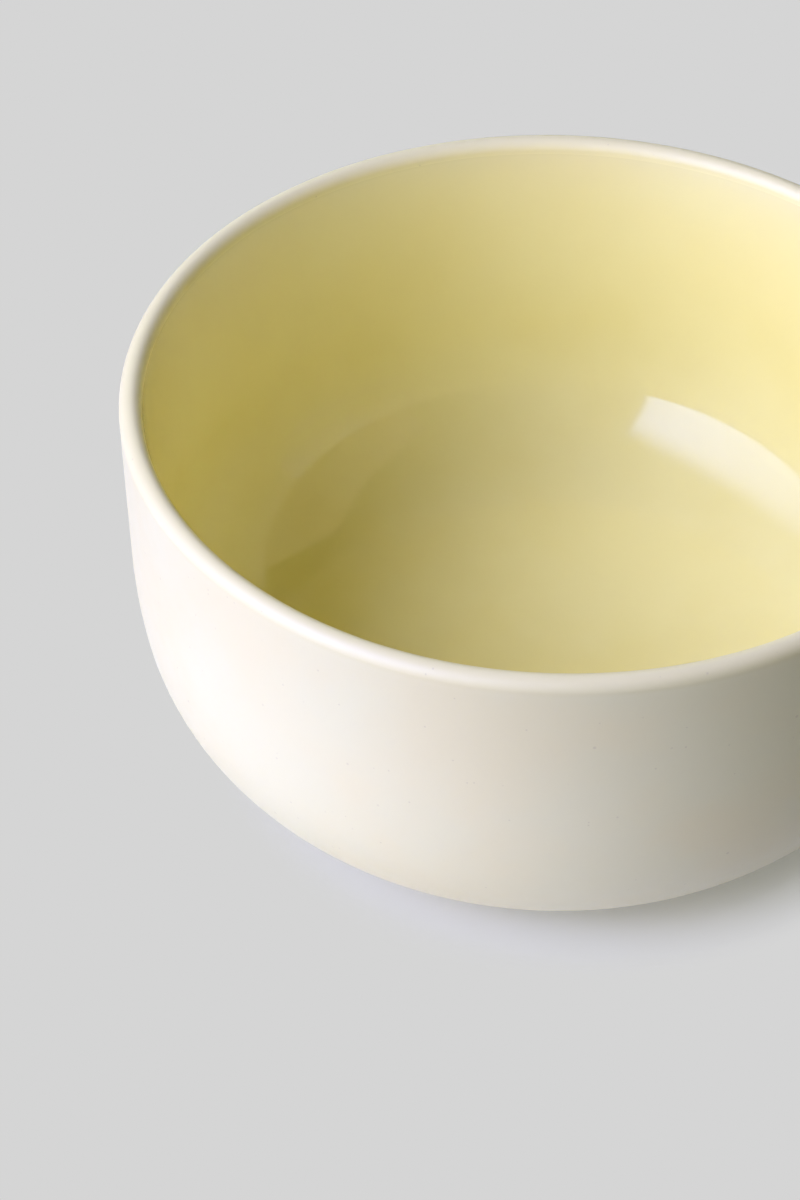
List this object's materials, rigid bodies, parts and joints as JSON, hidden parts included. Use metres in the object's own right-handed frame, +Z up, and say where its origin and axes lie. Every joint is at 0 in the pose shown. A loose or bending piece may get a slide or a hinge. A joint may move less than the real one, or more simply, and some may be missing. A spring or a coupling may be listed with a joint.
{
  "type": "latte bowl",
  "caption": "Wide round drinking bowl without a handle, with near-upright walls, a rounded belly and a low standing ring, for milky coffee, soup or cereal.",
  "frame": {"origin": "middle of the standing ring's lowest plane, where the bowl rests on the table", "axes": "+Z up through the mouth along the bowl's axis of turning; +X and +Y are any two level directions"},
  "size_m": [0.14, 0.14, 0.07],
  "materials": {
    "bare_stoneware": "fired clay, unglazed and matt, with a fine grain",
    "white_glaze": "warm white satin glaze with a few fine dark specks",
    "yellow_glaze": "pale yellow gloss glaze"
  },
  "bodies": {
    "root": {"stoneware_body": "bare_stoneware", "outer_glaze": "white_glaze", "inner_glaze": "yellow_glaze", "foot_glaze": "white_glaze"}
  },
  "joints": []
}
